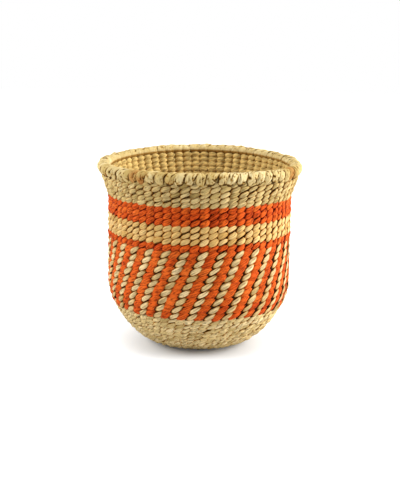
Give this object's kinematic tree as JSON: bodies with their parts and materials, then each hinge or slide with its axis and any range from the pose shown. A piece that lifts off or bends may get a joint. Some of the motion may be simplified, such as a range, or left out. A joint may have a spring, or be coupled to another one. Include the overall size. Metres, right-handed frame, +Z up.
{
  "type": "twined basket",
  "caption": "Round open basket of twined plant fibre with a rounded bottom, banded and striped wall, flared mouth and bound rim; stands free and holds small things.",
  "frame": {"origin": "middle of the flat underside", "axes": "+Z up along the basket's axis to the mouth, -Y the side seen in the picture, +X to its right"},
  "size_m": [0.15, 0.15, 0.1364],
  "materials": {
    "natural_fibre": "matte",
    "orange_fibre": "matte",
    "reed": "matte"
  },
  "bodies": {
    "root": {"base_natural_weft_outer": "natural_fibre", "base_natural_weft_inner": "natural_fibre", "shoulder_natural_weft_outer": "natural_fibre", "shoulder_natural_weft_inner": "natural_fibre", "lower_natural_weft_outer": "natural_fibre", "lower_natural_weft_inner": "natural_fibre", "striped_weft_orange": "orange_fibre", "striped_weft_natural": "natural_fibre", "orange_line_weft_outer": "orange_fibre", "orange_line_weft_inner": "orange_fibre", "middle_natural_weft_outer": "natural_fibre", "middle_natural_weft_inner": "natural_fibre", "orange_weft_outer": "orange_fibre", "orange_weft_inner": "orange_fibre", "upper_natural_weft_outer": "natural_fibre", "upper_natural_weft_inner": "natural_fibre", "rim_core": "reed", "rim_wrap": "natural_fibre", "start_knot": "reed", "stake_pair_01": "reed", "stake_pair_02": "reed", "stake_pair_03": "reed", "stake_pair_04": "reed", "stake_pair_05": "reed", "stake_pair_06": "reed", "stake_pair_07": "reed", "stake_pair_08": "reed", "stake_pair_09": "reed", "stake_pair_10": "reed", "stake_pair_11": "reed", "stake_pair_12": "reed", "stake_pair_13": "reed", "stake_pair_14": "reed", "stake_pair_15": "reed", "stake_pair_16": "reed", "stake_pair_17": "reed", "stake_pair_18": "reed", "stake_pair_19": "reed", "stake_pair_20": "reed", "stake_pair_21": "reed", "stake_pair_22": "reed", "stake_pair_23": "reed", "stake_pair_24": "reed", "stake_pair_25": "reed", "stake_pair_26": "reed", "stake_pair_27": "reed", "stake_pair_28": "reed", "stake_pair_29": "reed", "stake_pair_30": "reed", "stake_pair_31": "reed", "stake_pair_32": "reed"}
  },
  "joints": []
}
